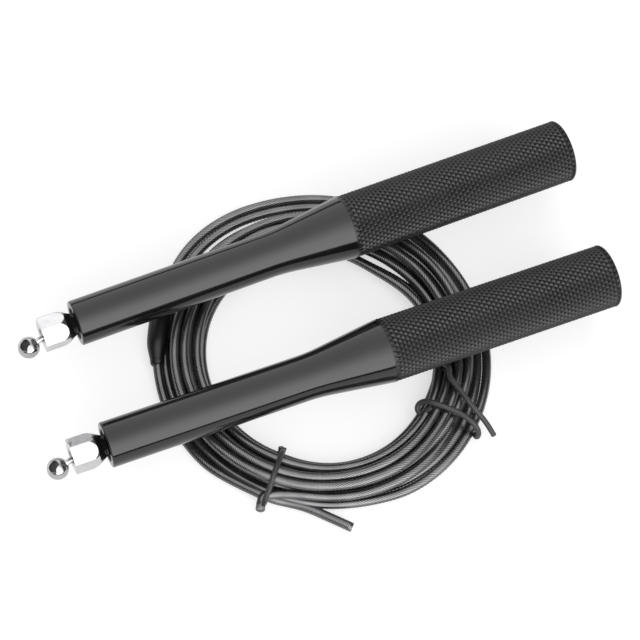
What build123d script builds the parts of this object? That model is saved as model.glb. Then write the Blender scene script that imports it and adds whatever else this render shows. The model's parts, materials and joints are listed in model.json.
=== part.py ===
from build123d import *
import math
import os

# Speed jump rope: two turned aluminium handles lie across a tied coil of coated steel cable.
# Millimetres. The origin is on the floor at the centre of the coil, +X runs from the ball ends
# of the handles to their grips, and +Z is up.

# ---- handle: a turned tube with a slim front and a wider knurled grip ----
handle_length = 165.0
front_diameter = 14.0
grip_diameter = 20.0
front_length = 66.0          # straight slim part, from the front face
taper_length = 23.0          # from the slim part to the grip
front_chamfer = 0.5
rear_round = 2.0
lathe_fit = 0.01             # radial clearance between pieces that are pressed or screwed together

# ---- axle: an M4 screw with its head in the collar ----
axle_diameter = 4.0
axle_head_diameter = 5.4
axle_head_thickness = 1.5
axle_socket_flats = 2.5
axle_socket_depth = 0.9
axle_overhang = 1.0          # thread that shows behind the nut
head_pocket_fit = 0.1
washer_thickness = 0.5
nut_flats = 7.0
nut_length = 5.0
nut_chamfer = 0.6

# ---- ball bearings on the axle, two in each handle ----
bearing_diameter = 10.0
bearing_width = 4.0
ring_wall = 0.8              # radial thickness of the inner ring
bearing_ball_diameter = 1.6
groove_depth = 0.1           # how far the balls sit in each ring
bearing_ball_count = 8
race_fit = 0.02              # radial clearance between a ball and its groove
cage_thickness = 0.7         # radial
cage_back = 0.5              # solid rim behind the ball pockets
pocket_fit = 0.04
shield_thickness = 0.2
shield_inset = 0.2
shield_gap = 0.15            # between a shield and the inner ring
bearing_inset = 0.8          # front bearing below the handle's front face
bearing_spread = 12.0        # gap between the two bearings, held open by the tube's inner rib
rib_relief = 0.1             # rib bore clear of the outer ring's bore
tube_relief = 0.5            # tube bore clear of the rear bearing's seat
grip_wall = 3.0
grip_bore_wall = 3.0         # length of solid tube between the taper and the wide bore

# ---- end plug in the grip ----
plug_lip = 1.0               # the plug's head round the grip's bore
plug_head_thickness = 1.5
plug_length = 9.0

# ---- collar and hex housing in front of the handle ----
collar_lip = 0.2             # collar's small end round the inner ring
collar_step = 0.05           # collar's large end inside the hex's flats
collar_length = 2.9
head_wall = 0.3              # collar between the screw's head and the cone's middle
head_cover = 0.5             # collar's spigot in front of the screw's head
hex_flats = 9.5
hex_cone_length = 2.7        # the hex's corners are turned to a cone towards the collar
hex_front_chamfer = 0.3

# ---- ball link ----
socket_ball_diameter = 5.6
socket_fit = 0.05            # radial clearance of the ball in its seat and housing
seat_wall = 0.7              # nylon round the ball
seat_back = 0.5              # nylon behind the ball
seat_front = 0.3             # seat's rim behind the ball's centre
seat_fit = 0.05
seat_gap = 0.1               # between the seat and the collar's spigot
neck_diameter = 1.8
mouth_fit = 0.05             # clearance of the fully tilted neck in the hex's mouth
rope_ball_diameter = 6.6
link_length = 8.0            # centre of the socket ball to centre of the rope ball
link_tilt = 25.0             # rest angle between the link and the handle's axis
link_drop = 72.0             # rest direction of the tilt, below the horizontal
cable_hole_turn = 164.0      # angle of the cable hole about the link
screw_diameter = 2.0
screw_socket_flats = 0.9
screw_socket_depth = 0.7
screw_inset = 0.15           # screw's face below the ball's surface
screw_gap = 0.1              # screw's point above the cable hole

# ---- cable and its coil ----
cable_diameter = 3.0
cable_fit = 0.1              # radial clearance of the cable in the rope ball
coil_outer_radius = 53.0
coil_inner_radius = 33.0
coil_height = 9.3            # at the middle of the coil
coil_slope = 0.04            # the bundle is thicker under the slim ends of the handles
coil_edge_round = 2.5
coil_foot_round = 1.0
floor_gap = 0.05
tail_points = [(-33.2, -36.6), (-25.6, -42.2), (-13.4, -54.4)]
sleeve_diameter = 6.4
sleeve_bed = 2.4             # sleeve's centre line inside the coil's outer edge
sleeve_from = 139.0
sleeve_to = 164.0
tie_diameter = 2.0
tie_corner_radius = 3.5
tie_angles = {"left_tie": -133.0, "right_tie": -49.0}

# ---- places of the two handles: front face centre in plan, and turn about the vertical ----
handle_places = {"left": (-69.2, 30.9, 0.0), "right": (-74.9, -8.6, -1.7)}
rest_gap = 0.3               # between the grips and the coil

# ---- worked out from the sizes above ----
front_radius = front_diameter / 2
grip_radius = grip_diameter / 2
grip_start = front_length + taper_length
seat_radius = bearing_diameter / 2
ring_radius = seat_radius - lathe_fit
axle_radius = axle_diameter / 2
axle_bore_radius = axle_radius + lathe_fit
inner_ring_radius = axle_radius + ring_wall
ball_radius = bearing_ball_diameter / 2
race_radius = inner_ring_radius + ball_radius - groove_depth
outer_ring_bore = 2 * (race_radius + ball_radius - groove_depth)
rib_bore = outer_ring_bore + 2 * rib_relief
tube_bore = bearing_diameter + 2 * tube_relief
grip_bore = grip_diameter - 2 * grip_wall
plug_head_diameter = grip_bore + 2 * plug_lip
front_bearing = bearing_inset
rear_bearing = front_bearing + bearing_width + bearing_spread
rear_seat_end = rear_bearing + bearing_width
collar_small_radius = inner_ring_radius + collar_lip
collar_large_radius = hex_flats / 2 - collar_step
spigot_diameter = socket_ball_diameter + 2 * seat_wall
spigot_length = axle_head_thickness - head_wall + head_cover
hex_length = socket_ball_diameter + seat_back + spigot_length
hex_rear = -collar_length
hex_front = hex_rear - hex_length
spigot_end = hex_rear - spigot_length
head_seat = hex_rear + head_wall
socket_radius = socket_ball_diameter / 2
pivot_along = hex_front + socket_radius
neck_radius = neck_diameter / 2
tilt_angle = math.radians(link_tilt)
mouth_radius = socket_radius * math.tan(tilt_angle) + neck_radius / math.cos(tilt_angle) + mouth_fit
cable_hole_radius = cable_diameter / 2 + cable_fit
nut_start = rear_seat_end + washer_thickness
tie_radius = tie_diameter / 2
cable_radius = cable_diameter / 2
sleeve_radius = coil_outer_radius - sleeve_bed
first_left_grip = handle_places["left"][0] + grip_start


def coil_top(x):
    """Height of the coil's sloping top at x."""
    return coil_height - coil_slope * x


handle_height = coil_top(first_left_grip) + rest_gap + grip_radius


def lengthwise(side):
    """Plane whose x direction is a handle's axis, from the centre of its front face to the rear."""
    x, y, turn = handle_places[side]
    ahead = (math.cos(math.radians(turn)), math.sin(math.radians(turn)), 0)
    return Plane(origin=(x, y, handle_height), x_dir=ahead, z_dir=(0, 0, 1))


def crosswise(place, along):
    """Plane square to the x direction of place, at a distance along it."""
    return Plane(origin=place.origin + place.x_dir * along, x_dir=place.z_dir, z_dir=place.x_dir)


def link_place(side):
    """Plane whose x direction runs from the socket ball's centre to the rope ball."""
    place = lengthwise(side)
    pivot = place.origin + place.x_dir * pivot_along
    drop = math.radians(link_drop)
    sideways = place.y_dir * -math.cos(drop) - place.z_dir * math.sin(drop)
    direction = place.x_dir * -math.cos(tilt_angle) + sideways * math.sin(tilt_angle)
    return Plane(origin=pivot, x_dir=direction, z_dir=direction.cross(sideways))


def turned(place, outline):
    """Solid turned about the x direction of place, from a closed outline of (along, radius)."""
    with BuildPart() as piece:
        with BuildSketch(place):
            with BuildLine():
                Polyline(*outline, close=True)
            make_face()
        revolve(axis=Axis(place.origin, place.x_dir))
    return piece


def ring(place, start, end, inner, outer):
    """Plain turned ring."""
    return turned(place, [(start, inner), (end, inner), (end, outer), (start, outer)])


def save(piece, name):
    piece.part.label = name
    export_step(piece.part, f"parts/{name}.step")
    return piece


def handle_body(place):
    front_seat_end = front_bearing + bearing_width
    wide_bore_start = grip_start + grip_bore_wall
    head_face = handle_length - plug_head_thickness
    outline = [
        (0, front_radius - front_chamfer),
        (front_chamfer, front_radius),
        (front_length, front_radius),
        (grip_start, grip_radius),
        (handle_length, grip_radius),
        (handle_length, plug_head_diameter / 2 + lathe_fit),
        (head_face, plug_head_diameter / 2 + lathe_fit),
        (head_face, grip_bore / 2),
        (wide_bore_start, grip_bore / 2),
        (wide_bore_start, tube_bore / 2),
        (rear_seat_end, tube_bore / 2),
        (rear_seat_end, seat_radius),
        (rear_bearing, seat_radius),
        (rear_bearing, rib_bore / 2),
        (front_seat_end, rib_bore / 2),
        (front_seat_end, seat_radius),
        (0, seat_radius),
    ]
    with BuildPart() as body:
        add(turned(place, outline).part)
        axis = Axis(place.origin, place.x_dir)
        rims = body.edges().filter_by(GeomType.CIRCLE)
        rear_rim = rims.filter_by(lambda rim: abs(rim.radius - grip_radius) < 0.01).sort_by(axis)[-1]
        fillet(rear_rim, radius=min(rear_round, (grip_radius - plug_head_diameter / 2) * 0.9))
    return body


def end_plug(place):
    head_face = handle_length - plug_head_thickness
    plug_radius = grip_bore / 2 - lathe_fit
    outline = [
        (handle_length - plug_length, 0),
        (handle_length - plug_length, plug_radius),
        (head_face, plug_radius),
        (head_face, plug_head_diameter / 2),
        (handle_length, plug_head_diameter / 2),
        (handle_length, 0),
    ]
    return turned(place, outline)


def grooved_ring(place, start, inner, outer):
    """Bearing ring with the balls' groove turned into it."""
    with BuildPart() as piece:
        with BuildSketch(place):
            with BuildLine():
                end = start + bearing_width
                Polyline((start, inner), (end, inner), (end, outer), (start, outer), close=True)
            make_face()
            with Locations((start + bearing_width / 2, race_radius)):
                Circle(ball_radius + race_fit, mode=Mode.SUBTRACT)
        revolve(axis=Axis(place.origin, place.x_dir))
    return piece


def bearing_balls(place, start):
    with BuildPart() as balls:
        with Locations(crosswise(place, start + bearing_width / 2)):
            with PolarLocations(race_radius, bearing_ball_count):
                Sphere(ball_radius)
    return balls


def bearing_cage(place, start):
    """Crown cage: a ring with round pockets that are open towards the front."""
    middle = start + bearing_width / 2
    rear = middle + ball_radius + pocket_fit + cage_back
    inner = race_radius - cage_thickness / 2
    outer = race_radius + cage_thickness / 2
    with BuildPart() as cage:
        add(ring(place, middle - ball_radius / 2, rear, inner, outer).part)
        with Locations(crosswise(place, middle)):
            with PolarLocations(race_radius, bearing_ball_count):
                Sphere(ball_radius + pocket_fit, mode=Mode.SUBTRACT)
    return cage


def bearing_shields(place, start):
    """Thin discs that close both sides of a bearing, held in the outer ring."""
    inner = inner_ring_radius + shield_gap
    outer = outer_ring_bore / 2 - lathe_fit
    front = start + shield_inset
    rear = start + bearing_width - shield_inset - shield_thickness
    with BuildPart() as shields:
        add(ring(place, front, front + shield_thickness, inner, outer).part)
        add(ring(place, rear, rear + shield_thickness, inner, outer).part)
    return shields


def axle_screw(place):
    head_end = head_seat - axle_head_thickness
    shank_end = nut_start + nut_length + axle_overhang
    outline = [
        (head_end, 0),
        (head_end, axle_head_diameter / 2),
        (head_seat, axle_head_diameter / 2),
        (head_seat, axle_radius),
        (shank_end, axle_radius),
        (shank_end, 0),
    ]
    with BuildPart() as screw:
        add(turned(place, outline).part)
        with BuildSketch(crosswise(place, head_end)):
            RegularPolygon(axle_socket_flats / 2, 6, major_radius=False)
        extrude(amount=axle_socket_depth, mode=Mode.SUBTRACT)
    return screw


def lock_nut(place):
    corner_radius = nut_flats / math.sqrt(3)
    nut_end = nut_start + nut_length
    cone = [
        (nut_start, 0),
        (nut_start, corner_radius - nut_chamfer),
        (nut_start + nut_chamfer, corner_radius),
        (nut_end - nut_chamfer, corner_radius),
        (nut_end, corner_radius - nut_chamfer),
        (nut_end, 0),
    ]
    with BuildPart() as nut:
        with BuildSketch(crosswise(place, nut_start)):
            RegularPolygon(nut_flats / 2, 6, major_radius=False)
            Circle(axle_bore_radius, mode=Mode.SUBTRACT)
        extrude(amount=nut_length)
        add(turned(place, cone).part, mode=Mode.INTERSECT)
    return nut


def collar(place):
    """Cone between the handle and the hex, with the screw's head in its front."""
    outline = [
        (front_bearing, axle_bore_radius),
        (front_bearing, collar_small_radius),
        (0, collar_small_radius),
        (hex_rear, collar_large_radius),
        (hex_rear, spigot_diameter / 2 - lathe_fit),
        (spigot_end, spigot_diameter / 2 - lathe_fit),
        (spigot_end, axle_head_diameter / 2 + head_pocket_fit),
        (head_seat, axle_head_diameter / 2 + head_pocket_fit),
        (head_seat, axle_bore_radius),
    ]
    return turned(place, outline)


def hex_housing(place):
    corner_radius = hex_flats / math.sqrt(3)
    cone = [
        (hex_front, 0),
        (hex_front, corner_radius - hex_front_chamfer),
        (hex_front + hex_front_chamfer, corner_radius),
        (hex_rear - hex_cone_length, corner_radius),
        (hex_rear, collar_large_radius),
        (hex_rear, 0),
    ]
    with BuildPart() as housing:
        with BuildSketch(crosswise(place, hex_front)):
            RegularPolygon(hex_flats / 2, 6, major_radius=False)
        extrude(amount=hex_length)
        add(turned(place, cone).part, mode=Mode.INTERSECT)
        with BuildSketch(crosswise(place, hex_front)):
            Circle(mouth_radius)
        extrude(amount=socket_radius, mode=Mode.SUBTRACT)
        with BuildSketch(crosswise(place, pivot_along)):
            Circle(spigot_diameter / 2)
        extrude(amount=hex_rear - pivot_along, mode=Mode.SUBTRACT)
        with Locations(crosswise(place, pivot_along)):
            Sphere(socket_radius + socket_fit, mode=Mode.SUBTRACT)
    return housing


def ball_seat(place):
    """Nylon cup behind the socket ball."""
    with BuildPart() as seat:
        seat_end = spigot_end - seat_gap
        add(ring(place, pivot_along + seat_front, seat_end, 0, spigot_diameter / 2 - seat_fit).part)
        with Locations(crosswise(place, pivot_along)):
            Sphere(socket_radius + socket_fit, mode=Mode.SUBTRACT)
    return seat


def ball_link(link):
    """Two balls on a neck; the outer one is drilled across for the cable and has a clamp screw."""
    rope_ball = crosswise(link, link_length)
    with BuildPart() as piece:
        with Locations(crosswise(link, 0)):
            Sphere(socket_radius)
        with Locations(rope_ball):
            Sphere(rope_ball_diameter / 2)
        with BuildSketch(crosswise(link, 0)):
            Circle(neck_radius)
        extrude(amount=link_length)
        with BuildSketch(cable_hole_place(link)):
            Circle(cable_hole_radius)
        extrude(amount=rope_ball_diameter, both=True, mode=Mode.SUBTRACT)
        with BuildSketch(rope_ball):
            Circle(screw_diameter / 2)
        extrude(amount=rope_ball_diameter, mode=Mode.SUBTRACT)
    return piece


def cable_hole_place(link):
    """Plane across the cable hole, at the rope ball's centre."""
    turn = math.radians(cable_hole_turn)
    outward = link.y_dir * math.cos(turn) + link.z_dir * math.sin(turn)
    return Plane(origin=link.origin + link.x_dir * link_length, x_dir=link.x_dir, z_dir=outward)


def clamp_screw(link):
    start = link_length + cable_hole_radius + screw_gap
    end = link_length + rope_ball_diameter / 2 - screw_inset
    with BuildPart() as screw:
        add(ring(link, start, end, 0, screw_diameter / 2 - lathe_fit).part)
        with BuildSketch(crosswise(link, end)):
            RegularPolygon(screw_socket_flats / 2, 6, major_radius=False)
        extrude(amount=-screw_socket_depth, mode=Mode.SUBTRACT)
    return screw


def build_handle(side):
    """Every piece of one handle, from the grip's plug to the screw in the rope ball."""
    place = lengthwise(side)
    link = link_place(side)
    save(handle_body(place), f"{side}_handle_body")
    save(end_plug(place), f"{side}_end_plug")
    for where, start in (("front", front_bearing), ("rear", rear_bearing)):
        inner = grooved_ring(place, start, axle_bore_radius, inner_ring_radius)
        outer = grooved_ring(place, start, outer_ring_bore / 2, ring_radius)
        save(inner, f"{side}_{where}_inner_ring")
        save(outer, f"{side}_{where}_outer_ring")
        save(bearing_balls(place, start), f"{side}_{where}_balls")
        save(bearing_cage(place, start), f"{side}_{where}_cage")
        save(bearing_shields(place, start), f"{side}_{where}_shields")
    front_seat_end = front_bearing + bearing_width
    spacer = ring(place, front_seat_end, rear_bearing, axle_bore_radius, inner_ring_radius)
    washer = ring(place, rear_seat_end, nut_start, axle_bore_radius, inner_ring_radius)
    save(spacer, f"{side}_spacer_tube")
    save(washer, f"{side}_axle_washer")
    save(axle_screw(place), f"{side}_axle_screw")
    save(lock_nut(place), f"{side}_lock_nut")
    save(collar(place), f"{side}_collar")
    save(hex_housing(place), f"{side}_hex_housing")
    save(ball_seat(place), f"{side}_ball_seat")
    save(ball_link(link), f"{side}_ball_link")
    save(clamp_screw(link), f"{side}_clamp_screw")


def cable_coil(bedded):
    """Closed ring of the tied bundle's outer shape, with a sloping top and room for what beds in it."""
    top = Plane(origin=(0, 0, coil_height), z_dir=(coil_slope, 0, 1))
    with BuildPart() as coil:
        with BuildSketch():
            Circle(coil_outer_radius)
            Circle(coil_inner_radius, mode=Mode.SUBTRACT)
        extrude(amount=2 * coil_height)
        split(bisect_by=top, keep=Keep.BOTTOM)
        fillet(coil.faces().sort_by(Axis.Z)[-1].edges(), radius=coil_edge_round)
        fillet(coil.faces().sort_by(Axis.Z)[0].edges(), radius=coil_foot_round)
        for piece in bedded:
            add(piece.part, mode=Mode.SUBTRACT)
    return coil


def corner_radii(points):
    """Arc radius at each inner point of a cord's route: as large as its two runs allow."""
    radii = []
    for before, corner, after in zip(points, points[1:], points[2:]):
        arriving = Vector(*corner) - Vector(*before)
        leaving = Vector(*after) - Vector(*corner)
        half_turn = math.radians(arriving.get_angle(leaving)) / 2
        radii.append(0.45 * min(arriving.length, leaving.length) / math.tan(half_turn))
    return radii


def cable_tail():
    """The cable's free end, which leaves the coil along the floor and is cut square."""
    level = Plane.XY.offset(cable_radius + floor_gap)
    radii = corner_radii(tail_points)
    print("tail arc radii", [round(radius, 1) for radius in radii])
    with BuildPart() as tail:
        with BuildLine(level) as route:
            FilletPolyline(*tail_points, radius=radii)
        path = route.wire()
        with BuildSketch(Plane(origin=path @ 0, z_dir=path % 0)):
            Circle(cable_radius)
        sweep(path=path)
    section_times_length = math.pi * cable_radius ** 2 * path.length
    print("tail volume", round(tail.part.volume, 2), "section x length", round(section_times_length, 2))
    return tail


def cable_sleeve():
    """Sleeve on the outermost turn of the cable, under the left handle."""
    height = sleeve_diameter / 2 + floor_gap
    level = Plane.XY.offset(height)
    with BuildPart() as sleeve:
        with BuildLine(level) as route:
            CenterArc((0, 0), sleeve_radius, sleeve_from, sleeve_to - sleeve_from)
        path = route.wire()
        with BuildSketch(Plane(origin=path @ 0, z_dir=path % 0)):
            Circle(sleeve_diameter / 2)
        sweep(path=path)
    return sleeve


def wire_tie(angle):
    """Round wire tie, closed about the bundle in the plane through the coil's axis."""
    radial = Vector(math.cos(math.radians(angle)), math.sin(math.radians(angle)), 0)
    upright = Plane(origin=(0, 0, 0), x_dir=radial, z_dir=radial.cross(Vector(0, 0, 1)))
    inside = coil_inner_radius - tie_radius
    outside = coil_outer_radius + tie_radius
    low = tie_radius + floor_gap
    inner_high = coil_top(inside * radial.X) + tie_radius
    outer_high = coil_top(outside * radial.X) + tie_radius
    corners = [(inside, low), (outside, low), (outside, outer_high), (inside, inner_high)]
    with BuildPart() as tie:
        with BuildLine(upright) as route:
            FilletPolyline(*corners, radius=tie_corner_radius, close=True)
        path = route.wire()
        with BuildSketch(Plane(origin=path @ 0, z_dir=path % 0)):
            Circle(tie_radius)
        sweep(path=path)
    return tie


os.makedirs("parts", exist_ok=True)
for handle_side in handle_places:
    build_handle(handle_side)
bedded_pieces = [save(cable_tail(), "cable_tail"), save(cable_sleeve(), "cable_sleeve")]
save(cable_coil(bedded_pieces), "cable_coil")
for tie_name, tie_angle in tie_angles.items():
    save(wire_tie(tie_angle), tie_name)
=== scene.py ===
"""Speed rope: two turned handles with ball-link ends, lying on a tied coil of coated steel cable."""
import json
import math

import bmesh
import bpy
import numpy as np
from mathutils import Matrix, Vector


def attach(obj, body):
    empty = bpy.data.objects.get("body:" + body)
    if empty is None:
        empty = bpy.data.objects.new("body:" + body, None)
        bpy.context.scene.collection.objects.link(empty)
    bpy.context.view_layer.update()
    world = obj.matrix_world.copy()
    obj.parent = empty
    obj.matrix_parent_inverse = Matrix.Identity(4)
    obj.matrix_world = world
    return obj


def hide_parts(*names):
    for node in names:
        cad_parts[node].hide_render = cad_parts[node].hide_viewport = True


MM = 0.001

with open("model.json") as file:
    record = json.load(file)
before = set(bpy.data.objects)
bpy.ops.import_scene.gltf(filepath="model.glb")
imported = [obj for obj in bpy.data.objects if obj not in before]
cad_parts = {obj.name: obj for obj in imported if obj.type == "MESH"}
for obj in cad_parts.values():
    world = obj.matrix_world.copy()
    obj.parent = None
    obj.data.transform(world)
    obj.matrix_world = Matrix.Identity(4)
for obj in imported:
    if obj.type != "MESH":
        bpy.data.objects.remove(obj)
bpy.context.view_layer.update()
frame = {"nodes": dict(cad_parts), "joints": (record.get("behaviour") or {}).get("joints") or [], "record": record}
joints = {joint["name"]: joint for joint in frame["joints"]}
scene = bpy.context.scene
scene.view_settings.view_transform = "Standard"

# turned handle, in millimetres along the axis from the front face
HANDLE_LENGTH = 165.0
FRONT_RADIUS = 7.0
GRIP_RADIUS = 10.0
FRONT_LENGTH = 66.0
GRIP_START = 89.0
REAR_ROUND = 0.8
FRONT_EDGE = 0.5
BEARING_SEAT = 5.0
RIB_BORE = 4.3
RIB_START = 4.8
RIB_END = 16.8
BEARING_SEAT_END = 20.8
BORE_STEP = GRIP_START + 3.0
TAPER_BLEND = 4.0            # length each side of the bend from tube to taper
MOUTH_CHAMFER = 0.25
REAR_CHAMFER = 0.3
TUBE_BORE = 5.5
GRIP_BORE = 7.0

KNURL_ROUND = 36             # diamonds round the grip
KNURL_PITCH = 2.42           # length of a diamond along the grip
KNURL_DEPTH = 0.52
KNURL_STEPS = 4              # mesh steps across a diamond
KNURL_FADE = 2.0             # length over which the knurl starts

HEX_FLATS = 9.5
HEX_FRONT = -10.7
HEX_REAR = -2.9
HEX_CONE = 2.7
SOCKET_RADIUS = 2.85
MOUTH_RADIUS = 2.36
PIVOT = -7.9
SPIGOT_RADIUS = 3.5

CABLE_RADIUS = 1.5
STRAND_COUNT = 7
STRAND_PITCH = 11.0
WIRE_LINES = 12              # slanting lines that show round the cable
COIL_START = -133.0          # degrees, seen from above
TURNS = 11
STATIONS = 36                # route points in each turn
TIE_RADIUS = 0.85
LEFT_TIE_ANGLE = -133.0
RIGHT_TIE_ANGLE = -49.0


# ---------------------------------------------------------------- finishes


def node_group(name, inputs, outputs):
    """Empty shader group with named sockets; each input is (name, socket type, default)."""
    group = bpy.data.node_groups.new(name, "ShaderNodeTree")
    for label, kind, default in inputs:
        socket = group.interface.new_socket(label, in_out="INPUT", socket_type=kind)
        if default is not None:
            socket.default_value = default
    for label, kind in outputs:
        group.interface.new_socket(label, in_out="OUTPUT", socket_type=kind)
    return group


def fine_grain_group():
    """Fine uneven grain and slow patches, both from 0 to 1."""
    group = node_group(
        "fine_grain",
        [("Grain Size", "NodeSocketFloat", 900.0), ("Patch Size", "NodeSocketFloat", 60.0)],
        [("Grain", "NodeSocketFloat"), ("Patches", "NodeSocketFloat")],
    )
    nodes, links = group.nodes, group.links
    given = nodes.new("NodeGroupInput")
    result = nodes.new("NodeGroupOutput")
    place = nodes.new("ShaderNodeTexCoord")
    for socket, detail, out in (("Grain Size", 3.0, "Grain"), ("Patch Size", 2.0, "Patches")):
        noise = nodes.new("ShaderNodeTexNoise")
        noise.inputs["Detail"].default_value = detail
        links.new(place.outputs["Object"], noise.inputs["Vector"])
        links.new(given.outputs[socket], noise.inputs["Scale"])
        links.new(noise.outputs["Fac"], result.inputs[out])
    return group


def painted_edge_light_group():
    """Mask that is 1 on sharp outer edges, broken up by noise; it places painted highlights and painted dark
    reflections on edges.
    """
    group = node_group(
        "painted_edge_light",
        [
            ("From", "NodeSocketFloat", 0.52),
            ("To", "NodeSocketFloat", 0.60),
            ("Break Size", "NodeSocketFloat", 400.0),
        ],
        [("Mask", "NodeSocketFloat")],
    )
    nodes, links = group.nodes, group.links
    given = nodes.new("NodeGroupInput")
    result = nodes.new("NodeGroupOutput")
    shape = nodes.new("ShaderNodeNewGeometry")
    place = nodes.new("ShaderNodeTexCoord")
    noise = nodes.new("ShaderNodeTexNoise")
    ramp = nodes.new("ShaderNodeMapRange")
    product = nodes.new("ShaderNodeMath")
    product.operation = "MULTIPLY"
    links.new(place.outputs["Object"], noise.inputs["Vector"])
    links.new(given.outputs["Break Size"], noise.inputs["Scale"])
    links.new(shape.outputs["Pointiness"], ramp.inputs["Value"])
    links.new(given.outputs["From"], ramp.inputs["From Min"])
    links.new(given.outputs["To"], ramp.inputs["From Max"])
    links.new(ramp.outputs["Result"], product.inputs[0])
    links.new(noise.outputs["Fac"], product.inputs[1])
    links.new(product.outputs["Value"], result.inputs["Mask"])
    return group


fine_grain = fine_grain_group()
painted_edge_light = painted_edge_light_group()


def colour_mix(nodes, links, mask, first, second):
    """Output of a mix from first to second, each a colour or an output."""
    mix = nodes.new("ShaderNodeMix")
    mix.data_type = "RGBA"
    sockets = {socket.identifier: socket for socket in mix.inputs}
    links.new(mask, sockets["Factor_Float"])
    for key, value in (("A_Color", first), ("B_Color", second)):
        if isinstance(value, tuple):
            sockets[key].default_value = (*value, 1.0)
        else:
            links.new(value, sockets[key])
    return {socket.identifier: socket for socket in mix.outputs}["Result_Color"]


class Finish:
    """A material being put together round one Principled BSDF."""

    def __init__(self, name, colour, roughness, metallic=0.0, grain=900.0, patches=60.0):
        self.material = bpy.data.materials.new(name)
        self.material.use_nodes = True
        self.material.diffuse_color = (*colour, 1.0)
        self.nodes = self.material.node_tree.nodes
        self.links = self.material.node_tree.links
        self.shader = self.nodes["Principled BSDF"]
        self.shader.inputs["Base Color"].default_value = (*colour, 1.0)
        self.shader.inputs["Roughness"].default_value = roughness
        self.shader.inputs["Metallic"].default_value = metallic
        self.grain = self.nodes.new("ShaderNodeGroup")
        self.grain.node_tree = fine_grain
        self.grain.inputs["Grain Size"].default_value = grain
        self.grain.inputs["Patch Size"].default_value = patches

    def ranged(self, source, low, high, start=0.3, end=0.7):
        """A 0 to 1 output spread between low and high."""
        spread = self.nodes.new("ShaderNodeMapRange")
        spread.inputs["From Min"].default_value = start
        spread.inputs["From Max"].default_value = end
        spread.inputs["To Min"].default_value = low
        spread.inputs["To Max"].default_value = high
        self.links.new(source, spread.inputs["Value"])
        return spread.outputs["Result"]

    def mixed(self, mask, first, second):
        """Colour that goes from first to second with the mask."""
        return colour_mix(self.nodes, self.links, mask, first, second)

    def rough_between(self, low, high, output="Patches"):
        self.links.new(self.ranged(self.grain.outputs[output], low, high), self.shader.inputs["Roughness"])

    def coloured_between(self, first, second, output="Patches"):
        mask = self.ranged(self.grain.outputs[output], 0.0, 1.0)
        self.links.new(self.mixed(mask, first, second), self.shader.inputs["Base Color"])

    def bumped(self, height, distance, strength=0.5):
        bump = self.nodes.new("ShaderNodeBump")
        bump.inputs["Distance"].default_value = distance
        bump.inputs["Strength"].default_value = strength
        self.links.new(height, bump.inputs["Height"])
        self.links.new(bump.outputs["Normal"], self.shader.inputs["Normal"])

    # Mask for painted edge light: painted highlights on the knurl points and painted dark reflections on the
    # chrome edges.
    def edge_mask(self, start, end, size=400.0):
        edges = self.nodes.new("ShaderNodeGroup")
        edges.node_tree = painted_edge_light
        edges.inputs["From"].default_value = start
        edges.inputs["To"].default_value = end
        edges.inputs["Break Size"].default_value = size
        return edges.outputs["Mask"]


def satin_black():
    """Black anodised aluminium, smooth turned part."""
    finish = Finish("black_anodised_satin", (0.005, 0.005, 0.0055), 0.10, 0.0, grain=2600.0, patches=45.0)
    finish.coloured_between((0.004, 0.004, 0.0045), (0.007, 0.007, 0.0075))
    finish.rough_between(0.09, 0.13)
    finish.bumped(finish.grain.outputs["Grain"], 0.00001, 0.12)
    finish.shader.inputs["Specular IOR Level"].default_value = 0.5
    finish.shader.inputs["Coat Weight"].default_value = 0.35
    finish.shader.inputs["Coat Roughness"].default_value = 0.06
    return finish.material


def knurled_black():
    """Black anodised aluminium on the knurl, with painted highlights on the diamond points."""
    finish = Finish("black_anodised_knurl", (0.014, 0.014, 0.015), 0.34, 0.0, grain=2200.0, patches=80.0)
    patches = finish.ranged(finish.grain.outputs["Patches"], 0.0, 1.0)
    base = finish.mixed(patches, (0.005, 0.005, 0.0055), (0.010, 0.010, 0.011))
    # painted highlight: the diamond points are coloured light grey where they would glint
    painted_tip_highlights = finish.mixed(finish.edge_mask(0.53, 0.62, 700.0), base, (0.16, 0.16, 0.165))
    finish.links.new(painted_tip_highlights, finish.shader.inputs["Base Color"])
    finish.rough_between(0.28, 0.40)
    finish.bumped(finish.grain.outputs["Grain"], 0.00003, 0.3)
    finish.shader.inputs["Specular IOR Level"].default_value = 0.6
    return finish.material


def polished_chrome():
    """Polished chrome plate, with painted dark reflections along its edges."""
    finish = Finish("polished_chrome", (0.72, 0.72, 0.73), 0.07, 1.0, grain=700.0, patches=420.0)
    patches = finish.ranged(finish.grain.outputs["Patches"], 0.0, 1.0)
    plate = finish.mixed(patches, (0.66, 0.66, 0.67), (0.75, 0.75, 0.76))
    # painted reflection: the chrome's edges are coloured dark grey as if they reflected dark surroundings
    painted_dark_edges = finish.mixed(finish.edge_mask(0.502, 0.515, 300.0), plate, (0.16, 0.16, 0.165))
    finish.links.new(painted_dark_edges, finish.shader.inputs["Base Color"])
    finish.rough_between(0.05, 0.12)
    finish.bumped(finish.grain.outputs["Patches"], 0.00002, 0.15)
    return finish.material


def tinted(colour, factor):
    return tuple(min(1.0, factor * part) for part in colour)


def ground_steel(name, colour, rough):
    finish = Finish(name, colour, rough, 1.0, grain=1500.0, patches=200.0)
    finish.coloured_between(tinted(colour, 0.9), tinted(colour, 1.08))
    finish.rough_between(rough - 0.06, rough + 0.08)
    finish.bumped(finish.grain.outputs["Grain"], 0.00002, 0.2)
    return finish.material


def moulded(name, colour, rough, grain=1400.0):
    finish = Finish(name, colour, rough, 0.0, grain=grain, patches=90.0)
    finish.coloured_between(tinted(colour, 0.82), tinted(colour, 1.2))
    finish.rough_between(rough - 0.05, rough + 0.07)
    finish.bumped(finish.grain.outputs["Grain"], 0.00005, 0.35)
    return finish.material


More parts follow.
